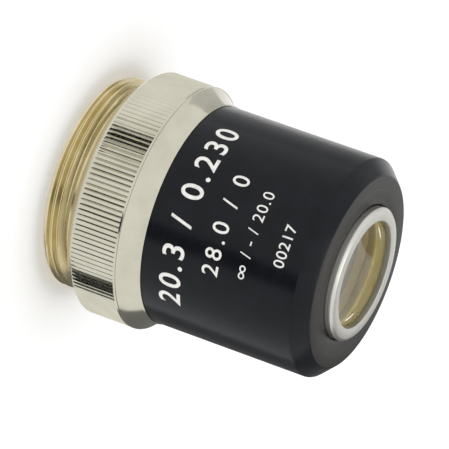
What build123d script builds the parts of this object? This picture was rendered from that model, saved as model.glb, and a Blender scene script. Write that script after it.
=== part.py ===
from build123d import *
from collections import namedtuple
import math
import os

# Millimetres. +Z is the optical axis from the mounting shoulder, at height 0, towards the sample.

# Clearances between pieces that fit in each other, and how far a cutter runs past what it cuts
screwed_gap = 0.03
sliding_gap = 0.03
seat_gap = 0.01
face_gap = 0.12
cut_overrun = 1.0

# Mounting thread of 0.8 inch by 36 turns to the inch, at its crests
thread_radius = 10.135
thread_length = 3.03
thread_chamfer = 0.48
relief_depth = 0.685
relief_length = 0.75
mount_wall = 0.82
mount_spigot_length = 3.4
mouth_chamfer = 0.45

# Knurled grip ring; its shoulder bears outside a shallow recess round the thread
recess_gap = 0.1
recess_depth = 0.15
shoulder_width = 0.565
knurl_height = 1.0
knurl_chamfer_length = 1.05
knurl_end = 5.35
knurl_count = 147
knurl_depth = 0.22
rim_proud = 0.02
rim_width = 0.2
rim_step = 0.12
cove_length = 1.95
cove_depth = 0.17
cove_proud = 0.1
cove_edge = 0.05
sleeve_spigot_wall = 1.04
sleeve_spigot_length = 3.95

# Black outer sleeve
sleeve_wall = 0.8
sleeve_chamfer = 1.3
sleeve_front_wall = 1.35
sleeve_edge_break = 0.08

# Inner barrel that holds the lens stack, and the shims behind the step in the grip ring
barrel_wall = 1.0
barrel_setback = 1.8
barrel_flange_thickness = 1.0
shim_thickness = 0.1
shim_count = 2

# Cells: each lens lies on a lip and is held by a screwed ring with two slots
rear_cell_wall = 1.94
slim_cell_wall = 1.14
cell_lip = 0.7
cell_rim = 0.2
lip_overlap = 0.4
ring_overlap = 0.35
ring_wall = 0.55
ring_length = 1.2
ring_slot_width = 1.0
ring_slot_depth = 0.5

# Behind the stack: beam stop and clamping ring
stop_overlap = 0.5
stop_thickness = 0.3
stack_ring_wall = 2.0
stack_ring_length = 1.2
spacer_wall = 1.0

# Front cell and nose ring round the front lens
front_spigot_wall = 1.17
front_spigot_length = 1.254
front_flange_thickness = 1.1
front_stub_wall = 0.37
front_ledge = 0.27
front_ledge_land = 0.35
nose_wall = 0.35
nose_lip = 0.47
nose_lip_thickness = 0.594
nose_chamfer = 0.23
nose_stub_gap = 0.06

# Screws that centre the third cell
centring_count = 3
centring_radius = 0.8
centring_length = 1.45
centring_slot_width = 0.3
centring_slot_depth = 0.4
centring_play = 0.1

# Lenses of fused silica: middle thicknesses, air spaces, and curves that are positive where the
# centre lies towards the sample
rear_lens_height = 2.4
rear_lens_thickness = 2.0
rear_lens_front_curve = 16.6
rear_air_space = 4.7
second_lens_thickness = 2.8
second_lens_rear_curve = -60.0
second_lens_front_curve = -15.5
middle_air_space = 4.6
third_lens_thickness = 2.8
third_lens_rear_curve = 72.0
third_lens_front_curve = -50.5
front_air_space = 1.8
front_lens_thickness = 2.8
front_lens_rear_curve = 11.85
front_lens_front_curve = 35.0
flat = 0

# Radii that follow from the walls and the fits
relief_radius = thread_radius - relief_depth
mount_bore = relief_radius - mount_wall
barrel_radius = mount_bore - sliding_gap
barrel_bore = barrel_radius - barrel_wall
cell_radius = barrel_bore - sliding_gap
grip_bore = relief_radius + screwed_gap
recess_radius = thread_radius + recess_gap
shoulder_radius = thread_radius + shoulder_width
knurl_radius = shoulder_radius + knurl_height
sleeve_spigot_radius = mount_bore + sleeve_spigot_wall
sleeve_bore = sleeve_spigot_radius + screwed_gap
sleeve_radius = sleeve_bore + sleeve_wall
small_lens_radius = cell_radius - rear_cell_wall - sliding_gap
large_lens_radius = cell_radius - slim_cell_wall - sliding_gap
front_stub_radius = small_lens_radius + sliding_gap + front_stub_wall
nose_skirt_radius = front_stub_radius + screwed_gap
nose_radius = nose_skirt_radius + nose_wall

Lens = namedtuple("Lens", "rear thickness rear_curve front_curve radius")


def ahead_of(lens, air_space):
    """Height of the next lens's rear face, an air space ahead of this lens."""
    return lens.rear + lens.thickness + air_space


rear_lens = Lens(
    rear_lens_height, rear_lens_thickness, flat, rear_lens_front_curve, small_lens_radius
)
second_lens = Lens(
    ahead_of(rear_lens, rear_air_space),
    second_lens_thickness, second_lens_rear_curve, second_lens_front_curve, large_lens_radius,
)
third_lens = Lens(
    ahead_of(second_lens, middle_air_space),
    third_lens_thickness, third_lens_rear_curve, third_lens_front_curve, large_lens_radius,
)
front_lens = Lens(
    ahead_of(third_lens, front_air_space),
    front_lens_thickness, front_lens_rear_curve, front_lens_front_curve, small_lens_radius,
)


def turned(start, *steps):
    """Solid of revolution about Z. A step is the next (radius, height), or an arc's middle and its end."""
    edges = []
    here = start
    for step in steps + (start,):
        is_arc = isinstance(step[0], tuple)
        end = step[1] if is_arc else step
        if is_arc:
            edges.append(ThreePointArc(at(here), at(step[0]), at(end)))
        else:
            edges.append(Line(at(here), at(end)))
        here = end
    return revolve(make_face(edges), Axis.Z)


def at(corner):
    """Point on the XZ plane for a (radius, height) pair."""
    return Vector(corner[0], 0, corner[1])


def tube(inner, outer, low, high):
    """Plain ring between two radii and two heights."""
    return turned((inner, low), (outer, low), (outer, high), (inner, high))


def sag(curve, radius):
    """How far along +Z a spherical face stands at a radius, measured from its middle."""
    return curve - math.copysign(math.sqrt(curve**2 - radius**2), curve) if curve else 0


def rear_face(lens, radius):
    """Height of a lens's rear face at a radius."""
    return lens.rear + sag(lens.rear_curve, radius)


def front_face(lens, radius):
    """Height of a lens's front face at a radius."""
    return lens.rear + lens.thickness + sag(lens.front_curve, radius)


def ground(blank, curve, vertex, bulges):
    """Blank with one spherical face. The ball's pole and seam lie off the lens."""
    ball = Pos(0, 0, vertex + curve) * Rot(90, 0, 0) * Sphere(abs(curve))
    return blank & ball if bulges else blank - ball


def lens_piece(lens):
    """Round blank with a spherical face at each end, or a flat rear one."""
    front = lens.rear + lens.thickness
    blank_rear = min(lens.rear, rear_face(lens, lens.radius)) - cut_overrun if lens.rear_curve else lens.rear
    blank_front = max(front, front_face(lens, lens.radius)) + cut_overrun
    piece = turned((0, blank_rear), (lens.radius, blank_rear), (lens.radius, blank_front), (0, blank_front))
    if lens.rear_curve:
        piece = ground(piece, lens.rear_curve, lens.rear, lens.rear_curve > 0)
    return ground(piece, lens.front_curve, front, lens.front_curve < 0)


def slotted(ring, outer, face):
    """A ring with two slots for a pin spanner, cut across one face."""
    return ring - Pos(0, 0, face) * Box(2 * (outer + cut_overrun), ring_slot_width, 2 * ring_slot_depth)


def lip_radius(lens):
    """Clear radius of the lip that carries a lens from behind."""
    return lens.radius - lip_overlap


def ring_radius(lens):
    """Clear radius of the ring that holds a lens from in front."""
    return lens.radius - ring_overlap


def lip_height(lens):
    """Height of the lip's face: it meets a convex lens at the lip's edge, a concave one at the lens's edge."""
    touch = lip_radius(lens) if lens.rear_curve > 0 else lens.radius
    return rear_face(lens, touch) - seat_gap


def ring_height(lens):
    """Height of the holding ring's rear face, by the same rule."""
    touch = ring_radius(lens) if lens.front_curve < 0 else lens.radius
    return front_face(lens, touch) + seat_gap


def cell_rear(lens):
    """Height of a cell's rear face."""
    return lip_height(lens) - cell_lip


def cell_front(lens):
    """Height of a cell's front face."""
    return ring_height(lens) + ring_length + cell_rim


def cell(lens, outer):
    """Brass cell: rear lip, pocket for the lens and wider bore for its ring."""
    pocket = lens.radius + sliding_gap
    ring_bore = lens.radius + ring_wall + screwed_gap
    return turned(
        (lip_radius(lens), cell_rear(lens)),
        (outer, cell_rear(lens)),
        (outer, cell_front(lens)),
        (ring_bore, cell_front(lens)),
        (ring_bore, ring_height(lens)),
        (pocket, ring_height(lens)),
        (pocket, lip_height(lens)),
        (lip_radius(lens), lip_height(lens)),
    )


def lens_ring(lens):
    """Screwed ring that holds a lens in its cell."""
    outer = lens.radius + ring_wall
    front = ring_height(lens) + ring_length
    ring = tube(ring_radius(lens), outer, ring_height(lens), front)
    return slotted(ring, outer, front)


# Heights that follow from the seats
stop_front = cell_rear(rear_lens)
stack_ring_front = stop_front - stop_thickness
barrel_rear = barrel_setback - thread_length
flange_rear = mount_spigot_length
shims_rear = flange_rear + barrel_flange_thickness
grip_step = shims_rear + shim_thickness * shim_count
rim_end = knurl_end + rim_width
cove_end = rim_end + cove_length
grip_front = cove_end + cove_edge
barrel_front = cell_front(third_lens) + front_spigot_length
front_flange_front = barrel_front + front_flange_thickness
sleeve_wall_rear = front_flange_front + face_gap
sleeve_front = sleeve_wall_rear + sleeve_front_wall
lens_lip = front_face(front_lens, front_lens.radius) + seat_gap
nose_front = lens_lip + nose_lip_thickness
centring_height = (cell_rear(third_lens) + cell_front(third_lens)) / 2


def mount_thread():
    """Brass thread piece: crests as a plain cylinder, 45 degree flank, relief, and spigot in the grip ring."""
    crest_end = -relief_length - relief_depth
    return turned(
        (mount_bore + mouth_chamfer, -thread_length),
        (thread_radius - thread_chamfer, -thread_length),
        (thread_radius, thread_chamfer - thread_length),
        (thread_radius, crest_end),
        (relief_radius, -relief_length),
        (relief_radius, mount_spigot_length),
        (mount_bore, mount_spigot_length),
        (mount_bore, mouth_chamfer - thread_length),
    )


def knurl_cutter():
    """Everything outside the toothed outline, from behind the shoulder to the knurl's end."""
    pitch = 2 * math.pi / knurl_count
    root_radius = knurl_radius - knurl_depth
    corners = []
    for tooth in range(knurl_count):
        for radius, angle in ((knurl_radius, tooth * pitch), (root_radius, (tooth + 0.5) * pitch)):
            corners.append((radius * math.cos(angle), radius * math.sin(angle)))
    outline = make_face(Polyline(*corners, close=True))
    around = Circle(knurl_radius + cut_overrun) - outline
    return Pos(0, 0, -cut_overrun) * extrude(around, cut_overrun + knurl_end)


def hollow(start, end, depth):
    """Middle of an arc that dips towards the axis from the straight line between two corners."""
    length = math.dist(start, end)
    radius = (start[0] + end[0]) / 2 - depth * (end[1] - start[1]) / length
    height = (start[1] + end[1]) / 2 - depth * (start[0] - end[0]) / length
    return radius, height


def grip_ring():
    """Nickel-plated ring: shoulder, chamfer, straight knurl, plain rim, polished cove and sleeve spigot."""
    rim = knurl_radius + rim_proud
    cove_start = (rim - rim_step, rim_end)
    cove_front = (sleeve_radius + cove_proud, cove_end)
    ring = turned(
        (grip_bore, recess_depth),
        (recess_radius, recess_depth),
        (recess_radius, 0),
        (shoulder_radius, 0),
        (rim, knurl_chamfer_length),
        (rim, rim_end),
        cove_start,
        (hollow(cove_start, cove_front, cove_depth), cove_front),
        (sleeve_radius + cove_proud - cove_edge, grip_front),
        (sleeve_spigot_radius, grip_front),
        (sleeve_spigot_radius, grip_front + sleeve_spigot_length),
        (mount_bore, grip_front + sleeve_spigot_length),
        (mount_bore, grip_step),
        (grip_bore, grip_step),
    )
    return ring - knurl_cutter()


def outer_sleeve():
    """Black barrel: thin tube with a chamfered front wall round the nose."""
    front_hole = nose_radius + face_gap
    return turned(
        (sleeve_bore, grip_front),
        (sleeve_radius - sleeve_edge_break, grip_front),
        (sleeve_radius, grip_front + sleeve_edge_break),
        (sleeve_radius, sleeve_front - sleeve_chamfer),
        (sleeve_radius - sleeve_chamfer, sleeve_front),
        (front_hole + sleeve_edge_break, sleeve_front),
        (front_hole, sleeve_front - sleeve_edge_break),
        (front_hole, sleeve_wall_rear),
        (sleeve_bore, sleeve_wall_rear),
    )


def around_axis(piece, distance):
    """Copies of an upright piece, laid pointing outwards at the centring height and spread round the axis."""
    laid = Pos(distance, 0, centring_height) * Rot(0, 90, 0) * piece
    return [Rot(0, 0, turn * 360 / centring_count) * laid for turn in range(centring_count)]


def lens_barrel():
    """Inner brass tube with its flange and the tapped holes for the centring screws."""
    flange = grip_bore - sliding_gap
    body = turned(
        (barrel_bore, barrel_rear),
        (barrel_radius, barrel_rear),
        (barrel_radius, flange_rear),
        (flange, flange_rear),
        (flange, shims_rear),
        (barrel_radius, shims_rear),
        (barrel_radius, barrel_front),
        (barrel_bore, barrel_front),
    )
    hole = Cylinder(centring_radius + screwed_gap, barrel_wall + 2 * cut_overrun)
    return body - around_axis(hole, barrel_radius - barrel_wall / 2)


def parfocal_shims():
    """Thin rings between the barrel's flange and the step in the grip ring."""
    outer = grip_bore - sliding_gap
    rears = [shims_rear + level * shim_thickness for level in range(shim_count)]
    return Compound([tube(mount_bore, outer, rear, rear + shim_thickness) for rear in rears])


def centring_screws():
    """Headless slotted screws that bear on the third cell."""
    tip = cell_radius - centring_play + seat_gap
    screw = Cylinder(centring_radius, centring_length)
    slot = Box(2 * (centring_radius + cut_overrun), centring_slot_width, 2 * centring_slot_depth)
    screw -= Pos(0, 0, centring_length / 2) * slot
    return Compound(around_axis(screw, tip + centring_length / 2))


def aperture_stop():
    """Thin ring that sets the width of the beam."""
    return tube(lip_radius(rear_lens) - stop_overlap, cell_radius, stack_ring_front, stop_front)


def stack_ring():
    """Screwed ring that clamps the lens stack from behind."""
    rear = stack_ring_front - stack_ring_length
    ring = tube(barrel_bore - stack_ring_wall, barrel_bore - screwed_gap, rear, stack_ring_front)
    return slotted(ring, barrel_bore, rear)


def spacer(behind, ahead):
    """Ring that sets the air space between two cells."""
    return tube(cell_radius - spacer_wall, cell_radius, cell_front(behind), cell_rear(ahead))


def front_cell():
    """Brass front piece: spigot in the barrel, flange, and thin stub round the front lens."""
    spigot = barrel_bore - screwed_gap
    pocket = front_lens.radius + sliding_gap
    ledge = front_lens.radius - front_ledge
    ledge_front = rear_face(front_lens, ledge) - seat_gap
    stub_front = lens_lip - nose_stub_gap
    return turned(
        (spigot - front_spigot_wall, cell_front(third_lens)),
        (spigot, cell_front(third_lens)),
        (spigot, barrel_front),
        (barrel_radius, barrel_front),
        (barrel_radius, front_flange_front),
        (front_stub_radius, front_flange_front),
        (front_stub_radius, stub_front),
        (pocket, stub_front),
        (pocket, ledge_front),
        (ledge, ledge_front),
        (ledge, ledge_front - front_ledge_land),
    )


def nose_ring():
    """Nickel-plated cap screwed over the stub; its lip holds the front lens."""
    bore = front_lens.radius - nose_lip
    return turned(
        (nose_skirt_radius, front_flange_front),
        (nose_radius, front_flange_front),
        (nose_radius, nose_front - nose_chamfer),
        (nose_radius - nose_chamfer, nose_front),
        (bore, nose_front),
        (bore, lens_lip),
        (nose_skirt_radius, lens_lip),
    )


pieces = {
    "mount_thread": mount_thread(),
    "grip_ring": grip_ring(),
    "outer_sleeve": outer_sleeve(),
    "lens_barrel": lens_barrel(),
    "parfocal_shims": parfocal_shims(),
    "stack_ring": stack_ring(),
    "aperture_stop": aperture_stop(),
    "rear_cell": cell(rear_lens, cell_radius),
    "rear_lens": lens_piece(rear_lens),
    "rear_lens_ring": lens_ring(rear_lens),
    "rear_spacer": spacer(rear_lens, second_lens),
    "second_cell": cell(second_lens, cell_radius),
    "second_lens": lens_piece(second_lens),
    "second_lens_ring": lens_ring(second_lens),
    "middle_spacer": spacer(second_lens, third_lens),
    "third_cell": cell(third_lens, cell_radius - centring_play),
    "third_lens": lens_piece(third_lens),
    "third_lens_ring": lens_ring(third_lens),
    "centring_screws": centring_screws(),
    "front_cell": front_cell(),
    "front_lens": lens_piece(front_lens),
    "nose_ring": nose_ring(),
}

os.makedirs("parts", exist_ok=True)
for name, shape in pieces.items():
    export_step(shape, f"parts/{name}.step")
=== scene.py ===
import bpy
import bmesh
import math
from mathutils import Matrix, Vector


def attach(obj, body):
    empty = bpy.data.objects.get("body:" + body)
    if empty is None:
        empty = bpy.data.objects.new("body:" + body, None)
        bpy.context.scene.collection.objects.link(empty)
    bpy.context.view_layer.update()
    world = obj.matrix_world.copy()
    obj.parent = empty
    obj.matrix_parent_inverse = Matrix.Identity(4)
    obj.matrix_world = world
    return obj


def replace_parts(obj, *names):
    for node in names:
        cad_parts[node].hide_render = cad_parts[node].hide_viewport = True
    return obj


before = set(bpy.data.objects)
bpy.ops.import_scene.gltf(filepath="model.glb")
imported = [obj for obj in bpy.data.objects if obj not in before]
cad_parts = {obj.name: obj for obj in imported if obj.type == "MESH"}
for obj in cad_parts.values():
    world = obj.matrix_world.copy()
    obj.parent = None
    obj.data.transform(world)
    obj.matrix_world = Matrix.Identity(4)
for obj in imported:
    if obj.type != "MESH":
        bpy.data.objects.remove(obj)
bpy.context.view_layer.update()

# Sizes are written in millimetres and meshes are built in metres
MM = 0.001

# Radii, and heights above the shoulder. Turned outlines are lists of (radius, height) corners
THREAD_REAR = -3.03
THREAD_RADIUS = 10.135
THREAD_PITCH = 0.7056
THREAD_CHAMFER = 0.48
RELIEF_RADIUS = 9.45
RELIEF_REAR = -0.75
BORE_RADIUS = 8.63
SHOULDER_RADIUS = 10.7
KNURL_RADIUS = 11.7
KNURL_END = 5.35
KNURL_DEPTH = 0.19
KNURL_COUNT = 147
SLEEVE_RADIUS = 10.5
SLEEVE_REAR = 7.55
SLEEVE_FRONT = 24.17
NOSE_RADIUS = 6.38
NOSE_REAR = 22.7
NOSE_FRONT = 24.955


# Colours and nodes

def hex_colour(code):
    """Linear colour of an sRGB hex code."""
    channels = [int(code[place:place + 2], 16) / 255 for place in (1, 3, 5)]
    linear = [c / 12.92 if c <= 0.04045 else ((c + 0.055) / 1.055) ** 2.4 for c in channels]
    return (*linear, 1.0)


def add(tree, kind, inputs=None, **settings):
    """Adds a node with its settings, and sets or links its inputs."""
    node = tree.nodes.new(kind)
    for name, value in settings.items():
        setattr(node, name, value)
    for name, value in (inputs or {}).items():
        if isinstance(value, bpy.types.NodeSocket):
            tree.links.new(value, node.inputs[name])
        else:
            node.inputs[name].default_value = value
    return node


def math_node(tree, operation, first, second=0.0):
    """Value of one arithmetic step."""
    return add(tree, "ShaderNodeMath", {0: first, 1: second}, operation=operation).outputs[0]


def new_material(name):
    """Material with one Principled shader. Returns it with its tree and the shader."""
    material = bpy.data.materials.new(name)
    material.use_nodes = True
    tree = material.node_tree
    tree.nodes.clear()
    shader = add(tree, "ShaderNodeBsdfPrincipled")
    add(tree, "ShaderNodeOutputMaterial", {"Surface": shader.outputs["BSDF"]})
    return material, tree, shader


def lathe_marks(tree, spacing, seed):
    """Noise that is constant round the axis, as a cutting tool leaves it. Spacing is in millimetres."""
    place = add(tree, "ShaderNodeTexCoord").outputs["Object"]
    parts = add(tree, "ShaderNodeSeparateXYZ", {0: place})
    flat = add(tree, "ShaderNodeCombineXYZ", {0: parts.outputs[0], 1: parts.outputs[1]})
    radius = add(tree, "ShaderNodeVectorMath", {0: flat.outputs[0]}, operation="LENGTH").outputs["Value"]
    along = add(tree, "ShaderNodeCombineXYZ", {0: radius, 1: parts.outputs[2], 2: seed})
    return add(tree, "ShaderNodeTexNoise", {
        "Vector": along.outputs[0], "Scale": 1 / (spacing * MM), "Detail": 2.0, "Roughness": 0.6,
    }).outputs["Fac"]


def speckle(tree, size, seed):
    """Soft patches of a given size in millimetres, for tarnish and uneven polish."""
    place = add(tree, "ShaderNodeTexCoord").outputs["Object"]
    moved = add(tree, "ShaderNodeVectorMath", {0: place, 1: (seed, seed, seed)}, operation="ADD")
    return add(tree, "ShaderNodeTexNoise", {
        "Vector": moved.outputs[0], "Scale": 1 / (size * MM), "Detail": 4.0, "Roughness": 0.55,
    }).outputs["Fac"]


def spread(tree, value, low, high):
    """Maps the range a noise mostly keeps to, 0.3 to 0.7, to low and high."""
    return add(tree, "ShaderNodeMapRange", {
        "Value": value, "From Min": 0.3, "From Max": 0.7, "To Min": low, "To Max": high,
    }).outputs["Result"]


def two_colours(tree, value, first, second):
    """Mix of two hex colours by a noise."""
    share = spread(tree, value, 0.0, 1.0)
    mixed = add(tree, "ShaderNodeMix", {"Factor": share, 6: hex_colour(first), 7: hex_colour(second)},
                data_type="RGBA")
    return mixed.outputs[2]


def raised(tree, value, depth, strength):
    """Normal bumped by a pattern whose full range is a depth in millimetres."""
    return add(tree, "ShaderNodeBump", {
        "Height": value, "Distance": depth * MM, "Strength": strength,
    }).outputs[0]


# Materials

def turned_metal(name, low, high, roughness, marks, depth):
    """Bare or plated metal off the lathe: fine rings, slightly uneven polish."""
    material, tree, shader = new_material(name)
    rings = lathe_marks(tree, marks, seed=0.0)
    patches = speckle(tree, size=2.5, seed=0.013)
    tree.links.new(two_colours(tree, patches, low, high), shader.inputs["Base Color"])
    tree.links.new(spread(tree, rings, roughness * 0.8, roughness * 1.2), shader.inputs["Roughness"])
    tree.links.new(raised(tree, rings, depth, strength=0.5), shader.inputs["Normal"])
    shader.inputs["Metallic"].default_value = 1.0
    return material


def anodised(name, low, high, roughness, mirror):
    """Black anodised aluminium: a dense dark oxide over fine turning.

    Mirror is how much of the light that falls head on it reflects.
    """
    material, tree, shader = new_material(name)
    rings = lathe_marks(tree, spacing=0.12, seed=0.3)
    patches = speckle(tree, size=1.8, seed=0.029)
    tree.links.new(two_colours(tree, patches, low, high), shader.inputs["Base Color"])
    tree.links.new(spread(tree, rings, roughness * 0.85, roughness * 1.15), shader.inputs["Roughness"])
    tree.links.new(raised(tree, rings, depth=0.002, strength=0.35), shader.inputs["Normal"])
    shader.inputs["Specular IOR Level"].default_value = mirror
    return material


def silica(name):
    """Polished fused silica. The low IOR stands for a coating that keeps its mirror image faint.

    Lamps and scattered light pass straight through to what it covers.
    """
    material, tree, shader = new_material(name)
    ray = add(tree, "ShaderNodeLightPath").outputs
    passing = math_node(tree, "MAXIMUM", ray["Is Shadow Ray"], ray["Is Diffuse Ray"])
    clear = add(tree, "ShaderNodeBsdfTransparent", {"Color": hex_colour("#f2f4f3")})
    mixed = add(tree, "ShaderNodeMixShader", {0: passing, 1: shader.outputs[0], 2: clear.outputs[0]})
    tree.links.new(mixed.outputs[0], tree.get_output_node("ALL").inputs["Surface"])
    shader.inputs["Base Color"].default_value = hex_colour("#fbfdfc")
    shader.inputs["Transmission Weight"].default_value = 1.0
    shader.inputs["Roughness"].default_value = 0.0
    shader.inputs["IOR"].default_value = 1.25
    return material


def blackened(name):
    """Matt black chemical finish on brass, which swallows stray light."""
    material, tree, shader = new_material(name)
    patches = speckle(tree, size=0.8, seed=0.041)
    tree.links.new(two_colours(tree, patches, "#15130f", "#221f19"), shader.inputs["Base Color"])
    shader.inputs["Roughness"].default_value = 0.7
    return material


def matt_brass(name):
    """Lacquered brass inside the front, which spreads the light and glows gold through the glass."""
    material, tree, shader = new_material(name)
    patches = speckle(tree, size=1.5, seed=0.023)
    rings = lathe_marks(tree, spacing=0.15, seed=0.7)
    tree.links.new(two_colours(tree, patches, "#ecd48a", "#f5e3a4"), shader.inputs["Base Color"])
    tree.links.new(spread(tree, rings, 0.45, 0.6), shader.inputs["Roughness"])
    shader.inputs["Metallic"].default_value = 0.05
    return material


def marking_paint(name):
    """White filled marking, slightly uneven."""
    material, tree, shader = new_material(name)
    patches = speckle(tree, size=0.5, seed=0.017)
    tree.links.new(two_colours(tree, patches, "#d9d8d4", "#efeeea"), shader.inputs["Base Color"])
    shader.inputs["Roughness"].default_value = 0.55
    return material


bare_brass = turned_metal("bare_turned_brass", "#c6b78b", "#d6c9a2", roughness=0.26, marks=0.16, depth=0.004)
nickel = turned_metal("nickel_plate_on_brass", "#c3c0af", "#cecbbb", roughness=0.14, marks=0.2, depth=0.002)
satin_nickel = turned_metal(
    "fine_turned_nickel_plate", "#c6c4bd", "#cecdc7", roughness=0.34, marks=0.1, depth=0.003)
black = anodised("black_anodised_aluminium", "#0c0e12", "#12151a", roughness=0.22, mirror=0.17)
# Front face copy of the black: duller, which is its finish, and lighter and warmer, which is painted warm
# light from what it faces
face_black_with_painted_warm_light = anodised("matt_black_anodised_face_with_painted_warm_light", "#191816", "#211f1c", roughness=0.36, mirror=0.2)
inner_brass = turned_metal("inner_turned_brass", "#b0954e", "#c7ae68", roughness=0.28, marks=0.15, depth=0.003)
glass = silica("polished_fused_silica")
front_brass = matt_brass("lacquered_inner_brass")
dark_brass = blackened("blackened_brass")
steel = turned_metal("plain_steel", "#8d8d8b", "#a3a3a0", roughness=0.35, marks=0.1, depth=0.002)
paint = marking_paint("white_marking_paint")


# Meshes

def give_finish(mesh, material):
    """Covers a whole mesh with one material."""
    mesh.materials.clear()
    mesh.materials.append(material)


def new_piece(name, mesh, material):
    """Object at the origin that rides on the body and takes its slot's finish."""
    give_finish(mesh, material)
    piece = bpy.data.objects.new(name, mesh)
    bpy.context.collection.objects.link(piece)
    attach(piece, "root")
    return piece


def softened(corners, sizes):
    """Closed outline with the corners that have a size rounded by it. The rest stay sharp."""
    arc_steps = 4
    points = []
    for index, corner in enumerate(corners):
        here = Vector(corner)
        if index not in sizes:
            points.append(here)
            continue
        before = Vector(corners[index - 1]) - here
        after = Vector(corners[(index + 1) % len(corners)]) - here
        start = here + before.normalized() * sizes[index]
        end = here + after.normalized() * sizes[index]
        for step in range(arc_steps + 1):
            share = step / arc_steps
            points.append(start.lerp(here, share).lerp(here.lerp(end, share), share))
    return points


def spun(points, segments, closed=True):
    """Mesh of a turned outline, with its faces pointing outwards. A corner on the axis becomes one point."""
    mesh = bpy.data.meshes.new("turned")
    shape = bmesh.new()
    angles = [2 * math.pi * step / segments for step in range(segments)]
    on_axis = 1e-6
    rows = []
    for point in points:
        if point.x < on_axis:
            rows.append([shape.verts.new((0, 0, point.y * MM))] * segments)
        else:
            rows.append([
                shape.verts.new((point.x * math.cos(angle) * MM, point.x * math.sin(angle) * MM, point.y * MM))
                for angle in angles
            ])
    pairs = len(rows) if closed else len(rows) - 1
    for index in range(pairs):
        low, high = rows[index], rows[(index + 1) % len(rows)]
        for step in range(segments):
            after = (step + 1) % segments
            corners = []
            for vertex in (low[step], low[after], high[after], high[step]):
                if vertex not in corners:
                    corners.append(vertex)
            if len(corners) > 2:
                shape.faces.new(corners)
    bmesh.ops.recalc_face_normals(shape, faces=shape.faces)
    shape.to_mesh(mesh)
    shape.free()
    return mesh


def smoothed(mesh, angle):
    """Smooth shading, with edges over an angle in degrees kept sharp."""
    mesh.shade_smooth()
    mesh.set_sharp_from_angle(angle=math.radians(angle))
    return mesh


def turned_piece(name, node, corners, sizes, material, segments=256):
    """A turned piece that stands for its CAD node."""
    mesh = smoothed(spun(softened(corners, sizes), segments), angle=40)
    piece = new_piece(name, mesh, material)
    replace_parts(piece, node)
    return piece


# Black outer sleeve, with its flat front face duller than its side, and painted a lighter, warmer black that
# stands for warm light

sleeve_bore = 9.7
sleeve_chamfer = 1.3
face_rear = SLEEVE_FRONT - 1.35
front_hole = NOSE_RADIUS + 0.12
sleeve = turned_piece(
    "black_sleeve", "outer_sleeve",
    [
        (sleeve_bore, SLEEVE_REAR),
        (SLEEVE_RADIUS, SLEEVE_REAR),
        (SLEEVE_RADIUS, SLEEVE_FRONT - sleeve_chamfer),
        (SLEEVE_RADIUS - sleeve_chamfer, SLEEVE_FRONT),
        (front_hole, SLEEVE_FRONT),
        (front_hole, face_rear),
        (sleeve_bore, face_rear),
    ],
    {1: 0.06, 2: 0.12, 3: 0.1, 4: 0.06}, black, segments=360,
)
# The front face takes the lighter, warmer black, which is painted warm light
sleeve.data.materials.append(face_black_with_painted_warm_light)
flat_tolerance = 0.001
for face in sleeve.data.polygons:
    if face.center.z > (SLEEVE_FRONT - flat_tolerance) * MM:
        face.material_index = 1


# Knurled grip ring: a finely divided turned blank whose grooves a rule presses in

def new_rule(name, sizes):
    """Geometry tree that takes a mesh and named sizes. Returns the tree, its input node and its sockets."""
    tree = bpy.data.node_groups.new(name, "GeometryNodeTree")
    ports = tree.interface
    ports.new_socket("Geometry", in_out="INPUT", socket_type="NodeSocketGeometry")
    sockets = {}
    for label in sizes:
        sockets[label] = ports.new_socket(label, in_out="INPUT", socket_type="NodeSocketFloat").identifier
    finish = ports.new_socket("Finish", in_out="INPUT", socket_type="NodeSocketMaterial")
    sockets["Finish"] = finish.identifier
    ports.new_socket("Geometry", in_out="OUTPUT", socket_type="NodeSocketGeometry")
    return tree, add(tree, "NodeGroupInput"), sockets


def finish_rule(tree, given, geometry):
    """Ends a tree in Realize Instances and Set Material."""
    real = add(tree, "GeometryNodeRealizeInstances", {"Geometry": geometry}).outputs[0]
    painted = add(tree, "GeometryNodeSetMaterial", {
        "Geometry": real, "Material": given.outputs["Finish"],
    }).outputs[0]
    add(tree, "NodeGroupOutput", {"Geometry": painted})


def ruled_mesh(name, mesh, rule, sizes, material):
    """Plain mesh made by a geometry tree with these sizes in millimetres, counts and shares."""
    tree, sockets = rule
    maker = bpy.data.objects.new(name, mesh)
    bpy.context.collection.objects.link(maker)
    modifier = maker.modifiers.new(name, "NODES")
    modifier.node_group = tree
    for label, value in sizes.items():
        modifier[sockets[label]] = value
    modifier[sockets["Finish"]] = material
    bpy.context.view_layer.update()
    made = bpy.data.meshes.new_from_object(maker.evaluated_get(bpy.context.evaluated_depsgraph_get()))
    maker.modifiers.clear()
    bpy.data.objects.remove(maker)
    return made


def point_parts(tree):
    """X, Y and Z of each point."""
    position = add(tree, "GeometryNodeInputPosition").outputs[0]
    parts = add(tree, "ShaderNodeSeparateXYZ", {0: position}).outputs
    return parts[0], parts[1], parts[2]


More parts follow.
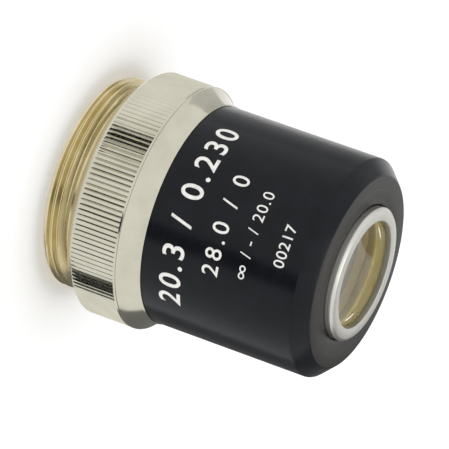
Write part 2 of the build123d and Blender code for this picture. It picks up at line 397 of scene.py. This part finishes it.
def knurl_rule():
    """Presses straight V grooves into a turned blank: points over the groove's floor move in to it."""
    tree, given, sockets = new_rule("straight_knurl", (
        "Teeth", "Crest radius", "Groove depth", "Groove end", "Crest share", "Unevenness"))
    size = given.outputs
    x, y, height = point_parts(tree)
    squares = math_node(tree, "ADD", math_node(tree, "MULTIPLY", x, x), math_node(tree, "MULTIPLY", y, y))
    radius = math_node(tree, "SQRT", squares)
    turns = math_node(tree, "DIVIDE", math_node(tree, "ARCTAN2", y, x), 2 * math.pi)
    teeth = math_node(tree, "ADD", math_node(tree, "MULTIPLY", turns, size["Teeth"]), 0.5)
    phase = math_node(tree, "FRACT", teeth)
    off_crest = math_node(tree, "ABSOLUTE", math_node(tree, "SUBTRACT", phase, 0.5))
    sloped = math_node(tree, "SUBTRACT", math_node(tree, "MULTIPLY", off_crest, 2.0), size["Crest share"])
    room = math_node(tree, "SUBTRACT", 1.0, size["Crest share"])
    share = math_node(tree, "DIVIDE", math_node(tree, "MAXIMUM", sloped, 0.0), room)
    # Each tooth has its own place in a noise, which makes its groove a little deeper or shallower
    place = add(tree, "ShaderNodeCombineXYZ", {0: math_node(tree, "FLOOR", teeth), 1: 0.37}).outputs[0]
    noise = add(tree, "ShaderNodeTexNoise", {"Vector": place, "Scale": 0.71, "Detail": 0.0}).outputs["Fac"]
    swing = math_node(tree, "MULTIPLY", math_node(tree, "SUBTRACT", noise, 0.5), size["Unevenness"])
    uneven = math_node(tree, "MULTIPLY", size["Groove depth"], math_node(tree, "ADD", swing, 1.0))
    depth = math_node(tree, "MULTIPLY", share, uneven)
    floor_radius = math_node(tree, "MULTIPLY", math_node(tree, "SUBTRACT", size["Crest radius"], depth), MM)
    inside = math_node(tree, "LESS_THAN", height, math_node(tree, "MULTIPLY", size["Groove end"], MM))
    outer = math_node(tree, "GREATER_THAN", radius, floor_radius)
    wanted = math_node(tree, "MULTIPLY", inside, outer)
    factor = math_node(tree, "DIVIDE", floor_radius, radius)
    moved = add(tree, "ShaderNodeCombineXYZ", {
        0: math_node(tree, "MULTIPLY", x, factor),
        1: math_node(tree, "MULTIPLY", y, factor),
        2: height,
    }).outputs[0]
    pressed = add(tree, "GeometryNodeSetPosition", {
        "Geometry": size["Geometry"], "Selection": wanted, "Position": moved,
    }).outputs[0]
    finish_rule(tree, given, pressed)
    return tree, sockets


def between(start, end, steps):
    """Corners on the straight line from one corner to another, without the last."""
    return [Vector(start).lerp(Vector(end), step / steps) for step in range(steps)]


def arc_through(start, end, depth, steps):
    """Corners on a hollow arc that dips towards the axis, without the last."""
    start, end = Vector(start), Vector(end)
    along = (end - start).normalized()
    inward = Vector((-along.y, along.x))
    chord = (end - start).length
    radius = (chord * chord / 4 + depth * depth) / (2 * depth)
    middle = (start + end) / 2 + inward * (depth - radius)
    first = start - middle
    sweep = 2 * math.asin(chord / 2 / radius)
    corners = []
    for step in range(steps):
        turn = -sweep * step / steps
        corners.append(middle + Vector((
            first.x * math.cos(turn) - first.y * math.sin(turn),
            first.x * math.sin(turn) + first.y * math.cos(turn),
        )))
    return corners


# The grooves stop at a step, between two rows of points this far apart
groove_step = 0.001
points_per_tooth = 8
rim_radius = KNURL_RADIUS + 0.02
rim_front = KNURL_END + 0.2
rim_round = 0.03
rear_chamfer_front = 1.05
last_row = KNURL_END - 0.04
cove_rear = (rim_radius - 0.12, rim_front)
cove_front = (SLEEVE_RADIUS + 0.1, 7.5)
face_recess = (10.235, 0.15)
thread_socket = (9.48, 4.6)
neck = (9.67, 11.5)
knurl_zone = (
    between((SHOULDER_RADIUS, 0), (rim_radius, rear_chamfer_front), 16)
    + between((rim_radius, rear_chamfer_front), (rim_radius, last_row), 6)
    + [Vector((rim_radius, last_row)), Vector((rim_radius, KNURL_END - groove_step))]
)
front_zone = (
    [
        Vector((rim_radius, KNURL_END)),
        Vector((rim_radius, rim_front - rim_round)),
        Vector((rim_radius - rim_round, rim_front)),
        Vector((rim_radius - 0.1, rim_front)),
    ]
    + arc_through(cove_rear, cove_front, 0.17, 18)
    + [
        Vector((cove_front[0], cove_front[1] - 0.02)),
        Vector((cove_front[0] - 0.03, SLEEVE_REAR)),
        Vector((neck[0], SLEEVE_REAR)),
    ]
)
inside_zone = [
    Vector(neck),
    Vector((BORE_RADIUS, neck[1])),
    Vector((BORE_RADIUS, thread_socket[1])),
    Vector(thread_socket),
]
rear_zone = [Vector((thread_socket[0], face_recess[1])), Vector(face_recess), Vector((face_recess[0], 0))]
knurl_blank = spun(rear_zone + knurl_zone + front_zone + inside_zone, KNURL_COUNT * points_per_tooth)
knurled = ruled_mesh("knurled_ring", knurl_blank, knurl_rule(), {
    "Teeth": KNURL_COUNT, "Crest radius": KNURL_RADIUS, "Groove depth": KNURL_DEPTH,
    "Groove end": KNURL_END - groove_step / 2, "Crest share": 0.04, "Unevenness": 0.35,
}, nickel)
grip = new_piece("knurled_grip_ring", smoothed(knurled, angle=32), nickel)
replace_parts(grip, "grip_ring")


# Mounting thread: a flat sheet of rows that a rule wraps into a screw thread

def thread_rule():
    """Wraps a flat sheet, with turns along X and rows in pitches along Y, into a male thread."""
    tree, given, sockets = new_rule("male_thread", (
        "Pitch", "Crest radius", "Groove depth", "Crest share", "Start", "Rear", "Front",
        "Rear edge radius", "Front edge radius"))
    size = given.outputs
    turns, row, _ = point_parts(tree)
    # Whole pitches are added so that every row counts from above zero
    phase = math_node(tree, "FRACT", math_node(tree, "ADD", row, 8.0))
    off_crest = math_node(tree, "ABSOLUTE", math_node(tree, "SUBTRACT", phase, 0.5))
    sloped = math_node(tree, "SUBTRACT", math_node(tree, "MULTIPLY", off_crest, 2.0), size["Crest share"])
    room = math_node(tree, "SUBTRACT", 1.0, math_node(tree, "MULTIPLY", size["Crest share"], 2.0))
    share = math_node(tree, "DIVIDE", math_node(tree, "MAXIMUM", sloped, 0.0), room)
    depth = math_node(tree, "MULTIPLY", math_node(tree, "MINIMUM", share, 1.0), size["Groove depth"])
    cut = math_node(tree, "SUBTRACT", size["Crest radius"], depth)
    climbed = math_node(tree, "MULTIPLY", math_node(tree, "ADD", turns, row), size["Pitch"])
    free = math_node(tree, "ADD", climbed, size["Start"])
    height = math_node(tree, "MINIMUM", math_node(tree, "MAXIMUM", free, size["Rear"]), size["Front"])
    from_rear = math_node(tree, "SUBTRACT", height, size["Rear"])
    to_front = math_node(tree, "SUBTRACT", size["Front"], height)
    rear_cone = math_node(tree, "ADD", size["Rear edge radius"], from_rear)
    front_cone = math_node(tree, "ADD", size["Front edge radius"], to_front)
    radius = math_node(tree, "MINIMUM", math_node(tree, "MINIMUM", cut, rear_cone), front_cone)
    angle = math_node(tree, "MULTIPLY", turns, 2 * math.pi)
    wrapped = add(tree, "ShaderNodeCombineXYZ", {
        0: math_node(tree, "MULTIPLY", radius, math_node(tree, "COSINE", angle)),
        1: math_node(tree, "MULTIPLY", radius, math_node(tree, "SINE", angle)),
        2: height,
    }).outputs[0]
    scaled = add(tree, "ShaderNodeVectorMath", {0: wrapped, "Scale": MM}, operation="SCALE").outputs[0]
    placed = add(tree, "GeometryNodeSetPosition", {
        "Geometry": size["Geometry"], "Position": scaled,
    }).outputs[0]
    welded = add(tree, "GeometryNodeMergeByDistance", {
        "Geometry": placed, "Distance": 0.0004 * MM,
    }).outputs[0]
    finish_rule(tree, given, welded)
    return tree, sockets


def sheet_of_rows(segments, first, last, rows_per_pitch):
    """Flat sheet: one turn wide, and as many rows as the thread needs."""
    mesh = bpy.data.meshes.new("sheet")
    rows = round((last - first) * rows_per_pitch)
    points = [
        (step / segments, first + row / rows_per_pitch, 0)
        for row in range(rows + 1) for step in range(segments + 1)
    ]
    width = segments + 1
    faces = [
        (row * width + step, row * width + step + 1, (row + 1) * width + step + 1, (row + 1) * width + step)
        for row in range(rows) for step in range(segments)
    ]
    mesh.from_pydata(points, [], faces)
    return mesh


def joined(name, meshes, weld):
    """One closed mesh from several, with doubles merged and faces turned outwards."""
    mesh = bpy.data.meshes.new(name)
    shape = bmesh.new()
    for part in meshes:
        shape.from_mesh(part)
    bmesh.ops.remove_doubles(shape, verts=shape.verts, dist=weld * MM)
    bmesh.ops.dissolve_degenerate(shape, edges=shape.edges, dist=weld * MM / 4)
    bmesh.ops.recalc_face_normals(shape, faces=shape.faces)
    shape.to_mesh(mesh)
    shape.free()
    return mesh


thread_segments = 288
thread_rear_radius = THREAD_RADIUS - THREAD_CHAMFER
screw_front = 3.4
bore_chamfer_front = -2.58
bore_mouth = 9.08
thread_sheet = sheet_of_rows(thread_segments, first=-1.25, last=3.5, rows_per_pitch=12)
turns_of_thread = ruled_mesh("turns_of_thread", thread_sheet, thread_rule(), {
    "Pitch": THREAD_PITCH, "Crest radius": THREAD_RADIUS, "Groove depth": 0.44, "Crest share": 0.13,
    "Start": -2.97, "Rear": THREAD_REAR, "Front": RELIEF_REAR,
    "Rear edge radius": thread_rear_radius, "Front edge radius": RELIEF_RADIUS,
}, bare_brass)
mount_body = spun([
    Vector((RELIEF_RADIUS, RELIEF_REAR)),
    Vector((RELIEF_RADIUS, screw_front)),
    Vector((BORE_RADIUS, screw_front)),
    Vector((BORE_RADIUS, bore_chamfer_front)),
    Vector((bore_mouth, THREAD_REAR)),
    Vector((thread_rear_radius, THREAD_REAR)),
], thread_segments, closed=False)
mount_mesh = smoothed(joined("mount", [turns_of_thread, mount_body], weld=0.001), angle=35)
mount = new_piece("brass_mounting_thread", mount_mesh, bare_brass)
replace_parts(mount, "mount_thread")


# Nose ring, front cell and lenses

nose_chamfer = 0.23
nose_bore = 5.13
nose_socket = (6.03, 24.361)
turned_piece(
    "bright_nose_ring", "nose_ring",
    [
        (nose_socket[0], NOSE_REAR),
        (NOSE_RADIUS, NOSE_REAR),
        (NOSE_RADIUS, NOSE_FRONT - nose_chamfer),
        (NOSE_RADIUS - nose_chamfer, NOSE_FRONT),
        (nose_bore, NOSE_FRONT),
        (nose_bore, nose_socket[1]),
        nose_socket,
    ],
    {2: 0.05, 3: 0.05, 4: 0.05, 5: 0.03}, satin_nickel,
)
cell_rear = 20.346
cell_flange = (8.6, 21.6)
cell_neck = (6.0, 24.301)
lens_rest = 22.356
turned_piece(
    "brass_front_cell", "front_cell",
    [
        (6.4, cell_rear),
        (7.57, cell_rear),
        (7.57, cell_flange[1]),
        cell_flange,
        (cell_flange[0], NOSE_REAR),
        (cell_neck[0], NOSE_REAR),
        cell_neck,
        (5.63, cell_neck[1]),
        (5.63, lens_rest),
        (5.33, lens_rest),
        (5.33, 22.006),
    ],
    {}, front_brass,
)


def curved_face(vertex, curve, radius, steps):
    """Corners of a spherical face from the axis out to the edge. A curve of 0 is a flat face."""
    corners = []
    for step in range(steps + 1):
        out = radius * step / steps
        sag = curve - math.copysign(math.sqrt(curve * curve - out * out), curve) if curve else 0
        corners.append(Vector((out, vertex + sag)))
    return corners


def lens(name, node, rear, thickness, rear_curve, front_curve, radius):
    """Smooth lens with a ground edge, that stands for its CAD node."""
    rear_face = curved_face(rear, rear_curve, radius, steps=24)
    front_face = curved_face(rear + thickness, front_curve, radius, steps=24)
    mesh = smoothed(spun(rear_face + front_face[::-1], 128, closed=False), angle=30)
    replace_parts(new_piece(name, mesh, glass), node)


lens("clear_front_lens", "front_lens",
     rear=21.1, thickness=2.8, rear_curve=11.85, front_curve=35.0, radius=5.6)
lens("clear_third_lens", "third_lens",
     rear=16.5, thickness=2.8, rear_curve=72.0, front_curve=-50.5, radius=6.4)
lens("clear_second_lens", "second_lens",
     rear=9.1, thickness=2.8, rear_curve=-60.0, front_curve=-15.5, radius=6.4)
lens("clear_rear_lens", "rear_lens",
     rear=2.4, thickness=2.0, rear_curve=0, front_curve=16.6, radius=5.6)


# Inner pieces keep their CAD shapes and get their finishes

inner_finishes = {
    "lens_barrel": inner_brass, "parfocal_shims": inner_brass, "rear_cell": inner_brass,
    "second_cell": inner_brass, "third_cell": front_brass, "third_lens_ring": front_brass,
    "rear_lens_ring": dark_brass, "second_lens_ring": dark_brass, "rear_spacer": dark_brass,
    "middle_spacer": dark_brass, "aperture_stop": dark_brass, "stack_ring": dark_brass,
    "centring_screws": steel,
}
for node_name, finish in inner_finishes.items():
    give_finish(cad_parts[node_name].data, finish)


# White markings: plain numbers wrapped round the sleeve

CAP_SHARE = 0.73
LETTER_CUT = 0.3
LETTER_WELD = 0.001
PAINT_TOP = 0.006
PAINT_FOOT = -0.05


def written(writer, spacing):
    """Flat mesh of a text object at a letter spacing, and its width."""
    writer.data.space_character = spacing
    bpy.context.view_layer.update()
    flat = bpy.data.meshes.new_from_object(writer.evaluated_get(bpy.context.evaluated_depsgraph_get()))
    across = [vertex.co.x for vertex in flat.vertices]
    return flat, max(across) - min(across)


def marking(name, words, cap_height, foot, width, bold):
    """Filled line of text round the barrel, centred towards the camera.

    Foot is the height of its base line. The letter spacing is set so that the line has its width.
    """
    text = bpy.data.curves.new(name, "FONT")
    text.body = words
    text.align_x = "CENTER"
    text.size = cap_height / CAP_SHARE
    text.offset = bold * text.size
    text.resolution_u = 6
    writer = bpy.data.objects.new(name, text)
    bpy.context.collection.objects.link(writer)
    plain = written(writer, 1.0)[1]
    wide = written(writer, 1.5)[1]
    flat = written(writer, 1.0 + 0.5 * (width - plain) / (wide - plain))[0]
    bpy.data.objects.remove(writer)
    shape = bmesh.new()
    shape.from_mesh(flat)
    bmesh.ops.remove_doubles(shape, verts=shape.verts, dist=LETTER_WELD)
    # Upright cuts let the flat letters bend round the sleeve
    left = min(v.co.x for v in shape.verts)
    right = max(v.co.x for v in shape.verts)
    cuts = int((right - left) / LETTER_CUT)
    for cut in range(1, cuts):
        bmesh.ops.bisect_plane(
            shape, geom=shape.verts[:] + shape.edges[:] + shape.faces[:], dist=LETTER_WELD,
            plane_co=(left + (right - left) * cut / cuts, 0, 0), plane_no=(1, 0, 0))
    thick = bmesh.ops.extrude_face_region(shape, geom=shape.faces[:])["geom"]
    for vertex in [item for item in thick if isinstance(item, bmesh.types.BMVert)]:
        vertex.co.z = 1.0
    for vertex in shape.verts:
        radius = SLEEVE_RADIUS + (PAINT_TOP if vertex.co.z > 0.5 else PAINT_FOOT)
        angle = math.radians(-90) - vertex.co.x / SLEEVE_RADIUS
        height = foot - vertex.co.y
        vertex.co = Vector((radius * math.cos(angle), radius * math.sin(angle), height)) * MM
    bmesh.ops.recalc_face_normals(shape, faces=shape.faces)
    mesh = bpy.data.meshes.new(name)
    shape.to_mesh(mesh)
    shape.free()
    new_piece(name, mesh, paint)


marking("marking_large", "20.3 / 0.230", cap_height=2.25, foot=11.6, width=18.9, bold=0.012)
marking("marking_second", "28.0 / 0", cap_height=1.68, foot=15.15, width=9.7, bold=0.006)
marking("marking_third", "\u221e / - / 20.0", cap_height=1.15, foot=17.93, width=8.4, bold=0.0)
marking("marking_small", "00217", cap_height=1.1, foot=21.2, width=4.0, bold=0.006)


# Floor, lights and camera

def area_light(name, place, aim, size, power):
    """Square soft box that faces its aim. Places are in millimetres."""
    light = bpy.data.lights.new(name, "AREA")
    light.shape = "RECTANGLE"
    light.size, light.size_y = size[0] * MM, size[1] * MM
    light.energy = power
    lamp = bpy.data.objects.new(name, light)
    lamp.location = Vector(place) * MM
    lamp.rotation_euler = (Vector(place) - Vector(aim)).to_track_quat("Z", "Y").to_euler()
    bpy.context.collection.objects.link(lamp)


def pale_floor(radius):
    """Wide pale disc under the part. Polished faces show the tent instead, as when the part hangs free."""
    mesh = spun([Vector((0, THREAD_REAR)), Vector((radius, THREAD_REAR))], 64, closed=False)
    material, _, shader = new_material("pale_floor_card")
    shader.inputs["Base Color"].default_value = hex_colour("#ffffff")
    shader.inputs["Roughness"].default_value = 0.9
    mesh.materials.append(material)
    floor = bpy.data.objects.new("floor", mesh)
    bpy.context.collection.objects.link(floor)
    floor.visible_glossy = False


def white_world(strength):
    """Even soft light from a white tent all round."""
    world = bpy.data.worlds.new("soft_white_tent")
    world.use_nodes = True
    tree = world.node_tree
    tree.nodes.clear()
    soft = add(tree, "ShaderNodeBackground", {"Color": hex_colour("#ffffff"), "Strength": strength})
    add(tree, "ShaderNodeOutputWorld", {"Surface": soft.outputs[0]})
    bpy.context.scene.world = world


def dark_card(name, azimuths, near, far, colour):
    """Dark card of the studio, which only polished faces show.

    Azimuths are in degrees. Near and far are the (radius, height) of its edges in millimetres.
    """
    mesh = bpy.data.meshes.new(name)
    steps = 8
    points = []
    for step in range(steps + 1):
        angle = math.radians(azimuths[0] + (azimuths[1] - azimuths[0]) * step / steps)
        for radius, height in (near, far):
            points.append((radius * math.cos(angle) * MM, radius * math.sin(angle) * MM, height * MM))
    mesh.from_pydata(points, [], [(2 * s, 2 * s + 1, 2 * s + 3, 2 * s + 2) for s in range(steps)])
    material, _, shader = new_material(name)
    shader.inputs["Base Color"].default_value = hex_colour(colour)
    shader.inputs["Roughness"].default_value = 1.0
    shader.inputs["Specular IOR Level"].default_value = 0.0
    mesh.materials.append(material)
    card = bpy.data.objects.new(name, mesh)
    bpy.context.collection.objects.link(card)
    card.visible_camera = False
    card.visible_diffuse = False
    card.visible_shadow = False
    card.visible_transmission = False


def photo_camera():
    """Camera fitted to the photograph's circles: a long lens, with the axis pointing right and down."""
    picture_side, sensor_side = 449, 36.0
    focal_pixels = 5027.1
    distance = 464.0
    roll, tilt = 0.342, 1.1931
    # The fitted point of the axis lies a little behind the shoulder
    column, row = 122.3756, 188.6987
    behind_shoulder = 0.33
    start = Vector((
        (column - picture_side / 2) / focal_pixels * distance,
        (row - picture_side / 2) / focal_pixels * distance,
        distance,
    ))
    axis = Vector((math.cos(roll) * math.sin(tilt), math.sin(roll) * math.sin(tilt), -math.cos(tilt)))
    across = Vector((-math.sin(roll), math.cos(roll), 0))
    ahead = axis.cross(across)
    origin = start + axis * behind_shoulder
    # Rows are the part's X, Y and Z seen in the camera's right, down and ahead directions
    to_part = Matrix((across, ahead, axis))
    right, down, away = to_part.col[0], to_part.col[1], to_part.col[2]
    place = -(to_part @ origin) * MM
    data = bpy.data.cameras.new("photo_camera")
    data.sensor_width = sensor_side
    data.lens = focal_pixels / picture_side * sensor_side
    data.clip_start = 0.01
    camera = bpy.data.objects.new("photo_camera", data)
    turn = Matrix((right, -down, -away)).transposed().to_4x4()
    camera.matrix_world = Matrix.Translation(place) @ turn
    bpy.context.collection.objects.link(camera)
    bpy.context.scene.camera = camera


pale_floor(radius=1500)
white_world(strength=1.04)
area_light("overhead_soft_box", place=(0, 0, 420), aim=(0, 0, 0), size=(200, 200), power=0.3)
dark_card("black_card", azimuths=(-69, -51), near=(300, -260), far=(300, 0), colour="#050505")
dark_card("grey_card", azimuths=(36, 88), near=(300, -300), far=(300, 260), colour="#727272")
dark_card("pale_grey_card", azimuths=(124, 160), near=(300, -200), far=(300, 150), colour="#cccccc")
photo_camera()

bpy.context.scene.view_settings.view_transform = "Standard"
